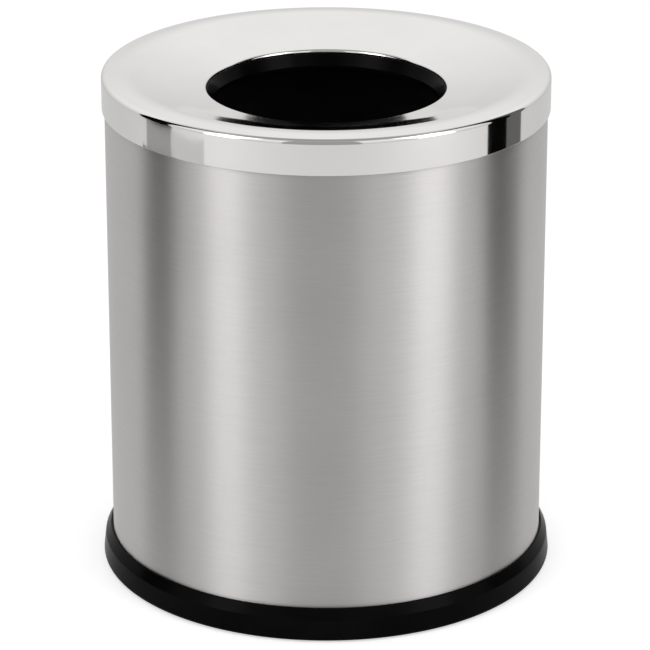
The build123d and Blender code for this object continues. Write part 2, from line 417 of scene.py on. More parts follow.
def shell_form(sizes):
    """Tube and hem as one bent sheet, turned about the axis. The weld is a shallow valley:
    the outside moves in by depth * exp(-(way along the wall / width)^2). The turn takes small
    steps across the valley, which ends at its reach in widths, and even ones elsewhere."""
    radius = SHELL_HIGH.x
    top = SHELL_HIGH.z
    bore = radius - sizes.hem_width
    valley_reach = 4
    valley_steps = 33
    plain_steps = 361
    points = [
        (radius, SHELL_LOW.z),
        (radius, top),
        (bore, top),
        (bore, top - sizes.hem_depth),
    ]
    corners, rolls = sheet_corners(points, [sizes.hem_roll] * 2, sizes.wall, sizes.cut_roll)
    outline, outward = rounded(corners, rolls)
    spread = np.linspace(-valley_reach, valley_reach, valley_steps) * sizes.weld_width / radius
    plain = np.linspace(spread[-1], 2 * np.pi + spread[0], plain_steps)[1:-1]
    turns = np.concatenate([spread, plain]) + sizes.weld_side
    vertices, normals, faces = turned(outline, outward, turns=turns)
    along = (np.concatenate([spread, np.full(len(plain), spread[0])])) * radius
    along = np.tile(along, len(outline))
    valley = sizes.weld_depth * np.exp(-((along / sizes.weld_width) ** 2))
    slope = 2 * along / sizes.weld_width**2 * valley
    across = np.tile(np.stack([-np.sin(turns), np.cos(turns), 0 * turns], axis=1), (len(outline), 1))
    facing = (normals[:, :2] * unit(vertices[:, :2])).sum(1).clip(0, 1)[:, None]
    outer = facing * (np.linalg.norm(vertices[:, :2], axis=1) > radius - sizes.wall / 2)[:, None]
    radial = unit(vertices * [1, 1, 0])
    vertices = vertices - radial * valley[:, None] * outer
    normals = normals - across * slope[:, None] * outer
    return vertices, normals, faces


def crest_height(sizes):
    """Height of the crest's sharp corner. An arc of the crest's radius that touches the land
    and the dish stays below that corner, and its top is the top of the cover. The frame's box
    comes from flat facets, so the height read from it is rounded to a tenth of a millimetre."""
    crest = COVER_HIGH.x - sizes.land_width
    fall = (sizes.mouth_drop / 2 + sizes.dish_sag) / ((crest - sizes.mouth_radius) / 2)
    reach = sizes.crest_roll * np.tan((sizes.land_rise + np.arctan(fall)) / 2)
    lift = reach * np.sin(sizes.land_rise) + sizes.crest_roll * (np.cos(sizes.land_rise) - 1)
    return COVER_LOW.z + round(COVER_HIGH.z - COVER_LOW.z, 4) + lift


def cover_form(sizes):
    """Band, corner, land, crest, dish and turned lip as one bent sheet, turned."""
    radius = COVER_HIGH.x
    crest = radius - sizes.land_width
    crest_z = crest_height(sizes)
    mouth_z = crest_z - sizes.mouth_drop
    points = [
        (radius, COVER_LOW.z),
        (radius, crest_z - sizes.land_width * np.tan(sizes.land_rise)),
        (crest, crest_z),
        ((crest + sizes.mouth_radius) / 2, (crest_z + mouth_z) / 2 - sizes.dish_sag),
        (sizes.mouth_radius, mouth_z),
        (sizes.mouth_radius, mouth_z - sizes.mouth_lip),
    ]
    rolls = [sizes.corner_roll, sizes.crest_roll, sizes.dish_curve, sizes.mouth_roll]
    corners, rolls = sheet_corners(points, rolls, sizes.wall, sizes.cut_roll)
    outline, outward = rounded(corners, rolls, steps=12)
    return turned(outline, outward, count=512)


def collar_form(sizes, cover):
    """Ring with a groove for the lip and a bore that widens upwards, turned."""
    top = COLLAR_HIGH.z
    low = COLLAR_LOW.z
    bore = cover.mouth_radius - sizes.reach
    lip_in = cover.mouth_radius - sizes.fit
    lip_out = cover.mouth_radius + cover.wall + sizes.fit
    groove = crest_height(cover) - cover.mouth_drop - cover.mouth_lip - sizes.fit
    outside = lip_out + sizes.leg
    leg = low + sizes.leg_height
    corners = [
        (bore, top - sizes.slope),
        (bore, low),
        (outside, low),
        (outside, leg),
        (lip_out, leg),
        (lip_out, groove),
        (lip_in, groove),
        (lip_in, top),
    ]
    rolls = [sizes.edge_roll] * 3 + [sizes.mould_roll] * 5
    outline, outward = rounded(corners, rolls, steps=10)
    return turned(outline, outward, count=384)


def rib_form(section, start, end, turn):
    """Bar with a rounded section (across, height), carried level from one radius to another
    in one direction, with flat ends."""
    outline, outward = section
    count = len(outline)
    along = np.array([np.cos(turn), np.sin(turn), 0])
    across = np.array([-np.sin(turn), np.cos(turn), 0])
    upright = np.array([0, 0, 1])
    loop = outline[:, :1] * across + outline[:, 1:] * upright
    facing = outward[:, :1] * across + outward[:, 1:] * upright
    vertices = np.vstack([loop + along * start, loop + along * end])
    first = np.arange(count)
    after = np.roll(first, -1)
    sides = np.stack([first, first + count, after + count, after], axis=1)
    caps = [first[None, :], first[None, ::-1] + count]
    return vertices, np.vstack([facing, facing]), [sides[:, ::-1]] + caps


def ring_form(sizes, pads, shell_radius):
    """Flared ring turned from one outline, with ribs, bosses and cups set into its web."""
    foot = RING_LOW.z
    lip = RING_HIGH.z
    web = lip - sizes.lip_height
    web_low = web - sizes.wall
    rib_low = foot + sizes.rib_lift
    widest = shell_radius + sizes.flare
    wall_bore = widest - sizes.wall
    lip_bore = shell_radius + sizes.fit
    web_bore = shell_radius - sizes.web_width
    corners = [
        (wall_bore, foot),
        (widest, foot),
        (widest - sizes.shoulder_in, lip - sizes.shoulder_drop),
        (lip_bore + sizes.lip_wall, lip),
        (lip_bore, lip),
        (lip_bore, web),
        (web_bore, web),
        (web_bore, rib_low),
        (web_bore + sizes.wall, rib_low),
        (web_bore + sizes.wall, web_low),
        (wall_bore, web_low),
    ]
    mould = sizes.mould_roll
    rolls = [mould, sizes.foot_roll, sizes.shoulder_roll, sizes.lip_roll] + [mould] * 7
    outline, outward = rounded(corners, rolls, steps=10)
    forms = [turned(outline, outward, count=384)]

    root = web_low + mould
    half = sizes.rib_wall / 2
    section = rounded(
        [(-half, rib_low), (half, rib_low), (half, root), (-half, root)],
        [mould, mould, mould / 2, mould / 2],
        steps=4,
    )
    for turn in spaced(sizes.ribs, np.pi / sizes.ribs):
        forms.append(rib_form(section, web_bore + sizes.wall - mould, wall_bore + mould, turn))

    boss_low = web_low - sizes.boss_height
    boss_points = [
        (0, boss_low),
        (sizes.boss_radius, boss_low),
        (sizes.boss_radius, root),
        (0, root),
    ]
    boss = turned_solid(boss_points, [mould, mould / 2], count=48)
    forms += placed_round(boss, sizes.screws, shell_radius - sizes.screw_inset, np.pi / sizes.screws)

    cup = pads.radius + sizes.fit / 2
    post = pads.radius + sizes.post_wall
    cup_points = [
        (0, PAD_HIGH.z),
        (cup, PAD_HIGH.z),
        (cup, foot),
        (post, foot),
        (post, root),
        (0, root),
    ]
    cup_solid = turned_solid(cup_points, [mould, mould, mould, mould / 2], count=64)
    forms += placed_round(cup_solid, pads.count, shell_radius - sizes.pad_inset)
    return joined(forms)


def spaced(count, start=0.0):
    """Directions evenly spaced round the axis."""
    return start + np.arange(count) * 2 * np.pi / count


def placed_round(form, count, circle, start=0.0):
    """Copies of a form, evenly spaced on a circle round the axis."""
    turns = spaced(count, start)
    return [moved(form, circle * np.cos(turn), circle * np.sin(turn)) for turn in turns]


def plate_form(sizes):
    """Raised panel, flat and rim as one bent sheet from the axis out, turned."""
    edge = PLATE_HIGH.x
    low = PLATE_LOW.z
    panel = edge - sizes.inset
    points = [
        (0, low + sizes.rise),
        (panel, low + sizes.rise),
        (panel + sizes.ramp, low),
        (edge, low),
        (edge, PLATE_HIGH.z),
    ]
    corners, rolls = sheet_corners(points, [sizes.roll] * 3, sizes.wall, sizes.cut_roll)
    outline, outward = rounded(corners, rolls[1:-1], closed=False)
    return turned(*turned_from_axis(outline, outward), count=256)


def pads_form(sizes, circle):
    """Round pads with two grooved rings moulded into their soles, on one circle. A groove is
    a sixth of the pad's radius wide, and they begin one and three and a half such widths
    from the middle."""
    radius = sizes.radius
    ring = radius / 6
    sole = PAD_LOW.z
    groove = sole + sizes.groove_depth
    points = [(0, sole)]
    for near in (ring, 3.5 * ring):
        far = near + ring
        points += [(near, sole), (near, groove), (far, groove), (far, sole)]
    points += [(radius, sole), (radius, PAD_HIGH.z), (0, PAD_HIGH.z)]
    fine = sizes.groove_depth / 3
    rolls = [fine] * 8 + [sizes.edge_roll] * 2
    return joined(placed_round(turned_solid(points, rolls, steps=4), sizes.count, circle))


def slot_edge(toward, half, radius):
    """Where rays from the middle of a slot meet its edge. A slot is every point within its
    radius of a level line that reaches half to each side: a ray meets the straight edge at
    radius / |rise|, or the round end at half |run| + sqrt(radius^2 - (half rise)^2)."""
    run, rise = np.abs(toward).T
    straight = radius / np.maximum(rise, 1e-9)
    round_end = half * run + np.sqrt(np.maximum(radius**2 - (half * rise) ** 2, 0))
    reach = np.where(straight * run <= half, straight, round_end)
    return toward * reach[:, None]


def bucket_form(sizes, hem_bore):
    """Floor, foot, wall, neck and flange as one bent sheet, turned, with a hand hole on each
    side. The wall is cut into plain rows, placed as parts of its height, and into the rows of
    a patch at the level of the holes. Round a hole a patch of the grid, outside and inside,
    is taken out, and a band of rings joins its two borders through the hole: each ring slides
    from the border to the slot's edge, round the moulded edge and through the wall."""
    flange_z = BUCKET_HIGH.z - sizes.wall
    neck = hem_bore - sizes.clearance
    foot_z = BUCKET_LOW.z
    foot = neck - (flange_z - foot_z) * np.tan(sizes.draft)
    floor = foot - sizes.floor_inset
    floor_z = foot_z + sizes.floor_rise
    points = [
        (0, floor_z),
        (floor, floor_z),
        (floor + sizes.floor_rise, foot_z),
        (foot, foot_z),
        (neck, flange_z),
        (BUCKET_HIGH.x, flange_z),
    ]
    rolls = [sizes.floor_roll, sizes.floor_roll, sizes.foot_roll, sizes.neck_roll]
    corners, rolls = sheet_corners(points, rolls, sizes.wall, sizes.edge_roll)
    steps = 8
    outline, _ = rounded(corners, rolls[1:-1], steps=steps, closed=False)

    bends_to_wall = 3
    bends_round_rim = 4
    near_foot = 0.1
    near_hole = 0.8
    plain_rows = 8
    patch_rows = 9
    columns = 256
    foot_row = bends_to_wall * (steps + 1)
    rim_row = foot_row + bends_round_rim * (steps + 1)
    out_low, out_high = outline[foot_row - 1 : foot_row + 1]
    in_high, in_low = outline[rim_row - 1 : rim_row + 1]
    hole_z = flange_z - sizes.hole_below
    tall = sizes.hole_height / 2 + sizes.patch_margin
    patch_levels = np.linspace(hole_z - tall, hole_z + tall, patch_rows)
    cuts = (patch_levels - out_low[1]) / (out_high[1] - out_low[1])
    parts = np.concatenate([np.linspace(near_foot, near_hole, plain_rows), cuts])[:, None]
    out_rows = out_low + (out_high - out_low) * parts
    in_rows = (in_low + (in_high - in_low) * parts)[::-1]
    rim = outline[foot_row:rim_row]
    profile = np.vstack([outline[:foot_row], out_rows, rim, in_rows, outline[rim_row:]])
    profile, facing = turned_from_axis(profile, np.zeros_like(profile))
    vertices, _, faces = turned(profile, facing, count=columns)

    first_out = foot_row + plain_rows
    first_in = rim_row + len(parts)
    half_turn = np.arcsin((sizes.hole_width / 2 + sizes.patch_margin) / neck)
    wide = int(np.ceil(half_turn / (2 * np.pi / columns)))
    grid = np.arange(len(vertices) - 2).reshape(-1, columns)
    quads = faces[0]
    bands = []
    extra = []
    for middle in (0, columns // 2):
        across = np.arange(middle - wide, middle + wide + 1) % columns
        out_patch = grid[first_out : first_out + patch_rows][:, across]
        in_patch = grid[first_in : first_in + patch_rows][::-1][:, across]
        for patch in (out_patch, in_patch):
            taken = np.zeros(len(vertices), bool)
            taken[patch] = True
            quads = quads[~taken[quads].all(1)]
        turn = 2 * np.pi * middle / columns
        band, rings = hole_band(vertices, border(out_patch), border(in_patch), turn, hole_z, sizes)
        start = len(vertices) + sum(len(block) for block in extra)
        extra.append(band)
        count = len(border(out_patch))
        inner = np.arange(len(band)).reshape(rings, count) + start
        loops = np.vstack([border(out_patch)[None], inner, border(in_patch)[None]])
        beside = np.roll(loops, -1, axis=1)
        bands.append(np.stack([loops[:-1], beside[:-1], beside[1:], loops[1:]], axis=-1).reshape(-1, 4))
    vertices = np.vstack([vertices] + extra)
    return vertices, None, [np.vstack([quads] + bands)] + faces[1:]


def border(patch):
    """Vertices round the edge of a patch of the grid, in order."""
    return np.concatenate([patch[0, :-1], patch[:-1, -1], patch[-1, :0:-1], patch[:0:-1, 0]])


def hole_band(vertices, out_loop, in_loop, turn, hole_z, sizes):
    """Rings that lead from the outer border of a hole to the inner one, as points. On each
    side, two rings stay on the wall, the first one halfway to the border, and the others
    bend over the edge by a quarter turn."""
    level = np.array([[np.cos(turn), np.sin(turn)], [-np.sin(turn), np.cos(turn)]])
    half = (sizes.hole_width - sizes.hole_height) / 2
    radius = sizes.hole_height / 2
    edge = sizes.edge_roll
    bend = np.linspace(0, np.pi / 2, 5)
    rows = []
    for loop, depth_sign in ((out_loop, 1), (in_loop, -1)):
        points = vertices[loop]
        depth = points[:, :2] @ level[0]
        side = points[:, :2] @ level[1]
        flat = np.stack([side, points[:, 2] - hole_z], axis=1)
        reach = np.hypot(side, depth)
        slope = np.polyfit(points[:, 2], reach, 1)
        toward = unit(flat)
        part = []
        for edges_out, to_border in ((3.0, 0.5), (1.4, 0.0)):
            ring = slot_edge(toward, half, radius + edge * edges_out)
            part.append((ring + (flat - ring) * to_border, 0.0))
        for swing in bend:
            ring = slot_edge(toward, half, radius + edge * (1 - np.sin(swing)))
            part.append((ring, edge * (1 - np.cos(swing))))
        placed = []
        for ring, sunk in part:
            wall_radius = np.polyval(slope, ring[:, 1] + hole_z)
            x = np.sqrt(wall_radius**2 - ring[:, 0] ** 2) - sunk * depth_sign
            plan = x[:, None] * level[0] + ring[:, :1] * level[1]
            placed.append(np.column_stack([plan, ring[:, 1] + hole_z]))
        rows.append(placed if depth_sign > 0 else placed[::-1])
    rings = rows[0] + rows[1]
    return np.vstack(rings), len(rings)


SKIN_OUTPUTS = (
    ("Colour", "NodeSocketColor"),
    ("Roughness", "NodeSocketFloat"),
    ("Normal", "NodeSocketVector"),
)


def new_skin(name, inputs):
    """An empty shader group with named inputs, and a colour, a roughness and a normal as its
    outputs. Returns the group, the sockets that come in and the sockets that go out, or None
    for both where the file already has the group."""
    if name in bpy.data.node_groups:
        return bpy.data.node_groups[name], None, None
    group = bpy.data.node_groups.new(name, "ShaderNodeTree")
    for label, kind, default in inputs:
        socket = group.interface.new_socket(label, in_out="INPUT", socket_type=kind)
        if default is not None:
            socket.default_value = default
    for label, kind in SKIN_OUTPUTS:
        group.interface.new_socket(label, in_out="OUTPUT", socket_type=kind)
    entry = group.nodes.new("NodeGroupInput")
    leave = group.nodes.new("NodeGroupOutput")
    return group, entry.outputs, leave.inputs


def hand_out(group, leave, *values):
    """Links the colour, the roughness and the normal of a skin to its way out."""
    for (label, _), value in zip(SKIN_OUTPUTS, values):
        group.links.new(value, leave[label])


def add_node(tree, kind, **values):
    """A node with its settings, and its inputs by name, set."""
    node = tree.nodes.new(kind)
    for key, value in values.items():
        if hasattr(node, key):
            setattr(node, key, value)
        else:
            node.inputs[key.replace("_", " ")].default_value = value
    return node


def feed(tree, socket, value):
    """Links a socket to another one, or sets it to a number."""
    if isinstance(value, bpy.types.NodeSocket):
        tree.links.new(value, socket)
    else:
        socket.default_value = value


def calc(tree, operation, *values, use_clamp=False):
    """Result of a sum on sockets and numbers."""
    node = add_node(tree, "ShaderNodeMath", operation=operation, use_clamp=use_clamp)
    for socket, value in zip(node.inputs, values):
        feed(tree, socket, value)
    return node.outputs[0]


def noise(tree, vector, scale, detail, roughness=0.55):
    """Soft noise over a vector; its value is about 0.5 in the middle."""
    node = add_node(tree, "ShaderNodeTexNoise", Detail=detail, Roughness=roughness)
    tree.links.new(vector, node.inputs["Vector"])
    feed(tree, node.inputs["Scale"], scale)
    return node.outputs["Fac"]


def spread_out(tree, value, low, high, to_low=0.0, to_high=1.0):
    """Stretches a range of a value to another range."""
    node = add_node(tree, "ShaderNodeMapRange", clamp=True, From_Min=low, From_Max=high)
    tree.links.new(value, node.inputs["Value"])
    node.inputs["To Min"].default_value = to_low
    node.inputs["To Max"].default_value = to_high
    return node.outputs["Result"]


def scaled(tree, colour, factor):
    """A colour times a number."""
    node = add_node(tree, "ShaderNodeVectorMath", operation="SCALE")
    tree.links.new(colour, node.inputs[0])
    tree.links.new(factor, node.inputs["Scale"])
    return node.outputs["Vector"]


def raised(tree, height, strength, distance):
    """Normal of a surface that a height from nought to one raises by up to a distance."""
    node = add_node(tree, "ShaderNodeBump", Distance=distance)
    tree.links.new(strength, node.inputs["Strength"])
    tree.links.new(height, node.inputs["Height"])
    return node.outputs["Normal"]


def brush_group():
    """Brushed or rolled metal: lines drawn out along one or two axes, fine ones and broad
    ones, that shift colour, roughness and height a little."""
    inputs = [
        ("Vector", "NodeSocketVector", None),
        ("Stretch", "NodeSocketVector", (8.0, 8.0, 1400.0)),
        ("Colour", "NodeSocketColor", (0.66, 0.65, 0.64, 1.0)),
        ("Contrast", "NodeSocketFloat", 0.1),
        ("Roughness", "NodeSocketFloat", 0.4),
        ("Depth", "NodeSocketFloat", 0.1),
    ]
    group, entry, leave = new_skin("Brush lines", inputs)
    if entry is None:
        return group
    broad_share = 0.25
    roughness_change = 0.08
    stretched = add_node(group, "ShaderNodeVectorMath", operation="MULTIPLY")
    group.links.new(entry["Vector"], stretched.inputs[0])
    group.links.new(entry["Stretch"], stretched.inputs[1])
    drawn = stretched.outputs["Vector"]
    fine = noise(group, drawn, scale=1.0, detail=4.0, roughness=0.65)
    broad = noise(group, drawn, scale=0.22, detail=2.0)
    cloud = noise(group, entry["Vector"], scale=9.0, detail=2.0)
    lines = calc(group, "MULTIPLY_ADD", broad, broad_share, fine)
    mask = spread_out(group, lines, low=0.35, high=0.9)
    shade = calc(group, "SUBTRACT", mask, 0.5)
    brightness = calc(group, "MULTIPLY_ADD", shade, entry["Contrast"], 1.0)
    drift = spread_out(group, cloud, low=0.3, high=0.7, to_low=-0.03, to_high=0.03)
    change = calc(group, "MULTIPLY_ADD", shade, roughness_change, drift)
    rough = calc(group, "ADD", change, entry["Roughness"], use_clamp=True)
    normal = raised(group, mask, entry["Depth"], distance=0.00002)
    hand_out(group, leave, scaled(group, entry["Colour"], brightness), rough, normal)
    return group


def handled_group():
    """Smooth skin that has been wiped and touched: soft smears and small specks that shift
    colour and roughness, and a faint swell of the surface."""
    inputs = [
        ("Vector", "NodeSocketVector", None),
        ("Colour", "NodeSocketColor", (0.8, 0.8, 0.8, 1.0)),
        ("Roughness", "NodeSocketFloat", 0.06),
        ("Smears", "NodeSocketFloat", 0.04),
        ("Swell", "NodeSocketFloat", 0.1),
    ]
    group, entry, leave = new_skin("Handled skin", inputs)
    if entry is None:
        return group
    speck_share = 0.5
    smooth = noise(group, entry["Vector"], scale=38.0, detail=5.0, roughness=0.6)
    smear = spread_out(group, smooth, low=0.42, high=0.72)
    specks = spread_out(group, noise(group, entry["Vector"], scale=900.0, detail=1.0), low=0.66, high=0.78)
    marks = calc(group, "MULTIPLY_ADD", specks, speck_share, smear)
    rough = calc(group, "MULTIPLY_ADD", marks, entry["Smears"], entry["Roughness"])
    dim = spread_out(group, marks, low=0.0, high=1.5, to_low=1.0, to_high=0.97)
    hills = noise(group, entry["Vector"], scale=22.0, detail=1.0)
    normal = raised(group, hills, entry["Swell"], distance=0.0002)
    hand_out(group, leave, scaled(group, entry["Colour"], dim), rough, normal)
    return group


def moulded_group():
    """Moulded plastic or rubber: a fine pebbled skin, with dust that greys it a little."""
    inputs = [
        ("Vector", "NodeSocketVector", None),
        ("Colour", "NodeSocketColor", (0.012, 0.012, 0.013, 1.0)),
        ("Dust", "NodeSocketFloat", 0.1),
        ("Roughness", "NodeSocketFloat", 0.3),
        ("Pebbles", "NodeSocketFloat", 1600.0),
        ("Depth", "NodeSocketFloat", 0.1),
    ]
    group, entry, leave = new_skin("Moulded skin", inputs)
    if entry is None:
        return group
    dust_colour = (0.16, 0.15, 0.14, 1.0)
    roughness_change = 0.08
    smooth = noise(group, entry["Vector"], scale=30.0, detail=5.0, roughness=0.6)
    cloud = spread_out(group, smooth, low=0.4, high=0.75)
    coat = add_node(group, "ShaderNodeMix", data_type="RGBA")
    group.links.new(calc(group, "MULTIPLY", cloud, entry["Dust"]), coat.inputs["Factor"])
    group.links.new(entry["Colour"], coat.inputs[6])
    coat.inputs[7].default_value = dust_colour
    rough = calc(group, "MULTIPLY_ADD", cloud, roughness_change, entry["Roughness"], use_clamp=True)
    pebbles = noise(group, entry["Vector"], scale=entry["Pebbles"], detail=2.0, roughness=0.5)
    normal = raised(group, pebbles, entry["Depth"], distance=0.00005)
    hand_out(group, leave, coat.outputs[2], rough, normal)
    return group


def finish(name, group, colour, metallic=0.0, shine=0.5, **values):
    """Material whose colour, roughness and normal come from one of the groups, with the
    values that the group is given by name."""
    material = bpy.data.materials.new(name)
    material.use_nodes = True
    tree = material.node_tree
    shader = tree.nodes["Principled BSDF"]
    place = tree.nodes.new("ShaderNodeTexCoord")
    skin = tree.nodes.new("ShaderNodeGroup")
    skin.node_tree = group
    tree.links.new(place.outputs["Object"], skin.inputs["Vector"])
    skin.inputs["Colour"].default_value = (*colour, 1.0)
    for key, value in values.items():
        skin.inputs[key].default_value = value
    tree.links.new(skin.outputs["Colour"], shader.inputs["Base Color"])
    tree.links.new(skin.outputs["Roughness"], shader.inputs["Roughness"])
    tree.links.new(skin.outputs["Normal"], shader.inputs["Normal"])
    shader.inputs["Metallic"].default_value = metallic
    shader.inputs["Specular IOR Level"].default_value = shine
    return material


def metal(name, group, colour, **values):
    """Bare metal."""
    return finish(name, group, colour, metallic=1.0, **values)


def brushed_steel(looks):
    """Satin steel, brushed round the body: reflections are drawn out up and down."""
    material = metal(
        "brushed steel",
        brush_group(),
        looks.brushed,
        Stretch=(60.0, 60.0, 1900.0),
        Contrast=0.12,
        Roughness=looks.brushed_roughness,
        Depth=0.25,
    )
    quarter_turn = 0.25
    tree = material.node_tree
    shader = tree.nodes["Principled BSDF"]
    shader.inputs["Anisotropic"].default_value = looks.brushed_stretch
    shader.inputs["Anisotropic Rotation"].default_value = quarter_turn
    tangent = add_node(tree, "ShaderNodeTangent", direction_type="RADIAL", axis="Z")
    tree.links.new(tangent.outputs["Tangent"], shader.inputs["Tangent"])
    return material


def polished_steel(looks):
    """Steel polished almost to a mirror, with faint smears."""
    return metal(
        "polished steel",
        handled_group(),
        looks.polished,
        Roughness=looks.polished_roughness,
        Smears=0.03,
        Swell=0.05,
    )


def rolled_steel(looks):
    """Dull steel sheet with straight rolling lines along X."""
    return metal(
        "rolled steel",
        brush_group(),
        looks.rolled,
        Stretch=(12.0, 700.0, 700.0),
        Contrast=0.2,
        Roughness=0.38,
        Depth=0.2,
    )


def zinc_steel(looks):
    """Zinc-plated screw steel, mottled."""
    return metal(
        "zinc plated steel",
        brush_group(),
        looks.zinc,
        Stretch=(500.0, 500.0, 500.0),
        Contrast=0.35,
        Roughness=0.34,
        Depth=0.2,
    )


def moulded(looks, name, colour, **values):
    """Moulded plastic or rubber."""
    return finish(name, moulded_group(), colour, shine=looks.plastic_shine, **values)


def smooth_black(looks, name):
    """Smooth black plastic, as on the collar and the ring."""
    rough = looks.black_roughness
    return moulded(looks, name, looks.black, Dust=0.015, Roughness=rough, Pebbles=2200.0, Depth=0.06)


def placed(name, data):
    """A new object in the scene."""
    made = bpy.data.objects.new(name, data)
    bpy.context.scene.collection.objects.link(made)
    return made


def bare_material(name):
    """A material with only its way out, its tree and the socket of its surface."""
    material = bpy.data.materials.new(name)
    material.use_nodes = True
    tree = material.node_tree
    tree.nodes.clear()
    out = tree.nodes.new("ShaderNodeOutputMaterial")
    return material, tree, out.inputs["Surface"]


def flat_sheet(name, vertices, material):
    """A flat sheet with four corners."""
    mesh = bpy.data.meshes.new(name)
    fill_mesh(mesh, np.array(vertices), [np.array([[0, 1, 2, 3]])])
    mesh.materials.append(material)
    return placed(name, mesh)


def aim(made, place, target):
    """Puts an object at a place, its -Z side towards a target."""
    made.location = place
    made.rotation_euler = (Vector(target) - Vector(place)).to_track_quat("-Z", "Y").to_euler()


def place_round(azimuth, elevation, distance, centre):
    """Place seen from the centre: azimuth from the camera's side towards +X, and elevation,
    both in degrees."""
    turn, rise = np.radians([azimuth, elevation])
    level = np.cos(rise)
    way = np.array([np.sin(turn) * level, -np.cos(turn) * level, np.sin(rise)])
    return tuple(np.array(centre) + way * distance)


def softbox(name, azimuth, elevation, distance, width, height, strength):
    """Rectangular lamp that faces the object. Strength is its brightness, 1 being white: a
    lamp of area A and brightness B gives pi A B watts."""
    lamp = bpy.data.lights.new(name, "AREA")
    lamp.shape = "RECTANGLE"
    lamp.size = width
    lamp.size_y = height
    lamp.energy = np.pi * width * height * strength
    made = placed(name, lamp)
    centre = (0, 0, SHELL_HIGH.z / 2)
    aim(made, place_round(azimuth, elevation, distance, centre), centre)
    made.visible_camera = False


def card(name, azimuth, distance, width, low, high, strength):
    """Upright card that only polished and brushed surfaces see, as wide as given, between two
    heights. Strength is its brightness."""
    half = width / 2
    points = np.array([[-half, 0, low], [half, 0, low], [half, 0, high], [-half, 0, high]])
    turn = np.radians(azimuth)
    side = np.array([np.cos(turn), np.sin(turn), 0])
    out = np.array([np.sin(turn), -np.cos(turn), 0])
    vertices = points[:, :1] * side + distance * out + points[:, 2:] * [0, 0, 1]
    material, tree, surface = bare_material(name)
    glow = add_node(tree, "ShaderNodeEmission", Strength=strength)
    tree.links.new(glow.outputs["Emission"], surface)
    made = flat_sheet(name, vertices, material)
    made.visible_camera = False
    made.visible_diffuse = False
    made.visible_shadow = False
    made.visible_transmission = False


def by_way(tree, direct, mirrored, matt):
    """One value where the camera looks straight, one by way of metal or glass, and one for the
    light that falls on matt surfaces. Each may be a number or a socket."""
    path = tree.nodes.new("ShaderNodeLightPath")
    by_mirror = calc(tree, "MAXIMUM", path.outputs["Is Glossy Ray"], path.outputs["Is Transmission Ray"])
    inner = mixed(tree, by_mirror, matt, mirrored)
    return mixed(tree, path.outputs["Is Camera Ray"], inner, direct)


def mixed(tree, factor, first, second):
    """The first value where the factor is nought, the second one where it is one."""
    node = tree.nodes.new("ShaderNodeMix")
    tree.links.new(factor, node.inputs["Factor"])
    feed(tree, node.inputs["A"], first)
    feed(tree, node.inputs["B"], second)
    return node.outputs["Result"]


def build_world(stage):
    """Surroundings that are white for the camera and dimmer for matt surfaces. In metal they
    brighten from the horizon up to the sky and darken again towards the zenith."""
    world = bpy.data.worlds.new("studio")
    bpy.context.scene.world = world
    world.use_nodes = True
    tree = world.node_tree
    tree.nodes.clear()
    light = add_node(tree, "ShaderNodeBackground", Color=(1, 1, 1, 1))
    way = tree.nodes.new("ShaderNodeTexCoord")
    parts = tree.nodes.new("ShaderNodeSeparateXYZ")
    tree.links.new(way.outputs["Generated"], parts.inputs[0])
    rise = parts.outputs["Z"]
    brighter = spread_out(tree, rise, 0.0, 0.55, to_low=stage.horizon, to_high=stage.sky)
    darker = spread_out(tree, rise, 0.7, 0.95, to_low=0.0, to_high=stage.zenith - stage.sky)
    strength = by_way(tree, 1.0, calc(tree, "ADD", brighter, darker), stage.soft_light)
    out = tree.nodes.new("ShaderNodeOutputWorld")
    tree.links.new(strength, light.inputs["Strength"])
    tree.links.new(light.outputs["Background"], out.inputs["Surface"])


def build_floor(stage):
    """Pale floor that keeps the object's shadow and adds light where it is seen."""
    reach = 4.0
    vertices = [[-reach, -reach, 0], [reach, -reach, 0], [reach, reach, 0], [-reach, reach, 0]]
    material, tree, surface = bare_material("floor")
    matt = add_node(tree, "ShaderNodeBsdfDiffuse", Color=(*stage.floor, 1.0))
    glow = add_node(tree, "ShaderNodeEmission")
    tree.links.new(by_way(tree, stage.lit, stage.mirrored, 0.0), glow.inputs["Strength"])
    both = tree.nodes.new("ShaderNodeAddShader")
    tree.links.new(matt.outputs["BSDF"], both.inputs[0])
    tree.links.new(glow.outputs["Emission"], both.inputs[1])
    tree.links.new(both.outputs["Shader"], surface)
    made = flat_sheet("floor", vertices, material)


def build_camera(stage):
    """Camera at the photograph's viewing angle."""
    data = bpy.data.cameras.new("camera")
    data.lens = stage.lens
    data.sensor_width = 36.0
    data.sensor_fit = "HORIZONTAL"
    made = placed("camera", data)
    made.location = (stage.aside, -stage.distance, stage.height)
    made.rotation_euler = (np.pi / 2 - stage.pitch, 0, 0)
    bpy.context.scene.camera = made


# Name, azimuth and elevation in degrees, distance, width and height in metres, brightness
SOFTBOXES = (
    ("left softbox", -51, 28, 1.3, 0.42, 1.2, 1.8),
    ("right softbox", 54, 28, 1.3, 0.46, 1.2, 1.9),
)

# Distance of the cards beside the object. There the cover's band mirrors what stands between
# the two heights that follow, and the body mirrors what stands below them.
BESIDE = 0.46
BAND_LOW = 0.1235
BAND_HIGH = 0.144
CARD_TOP = 1.0

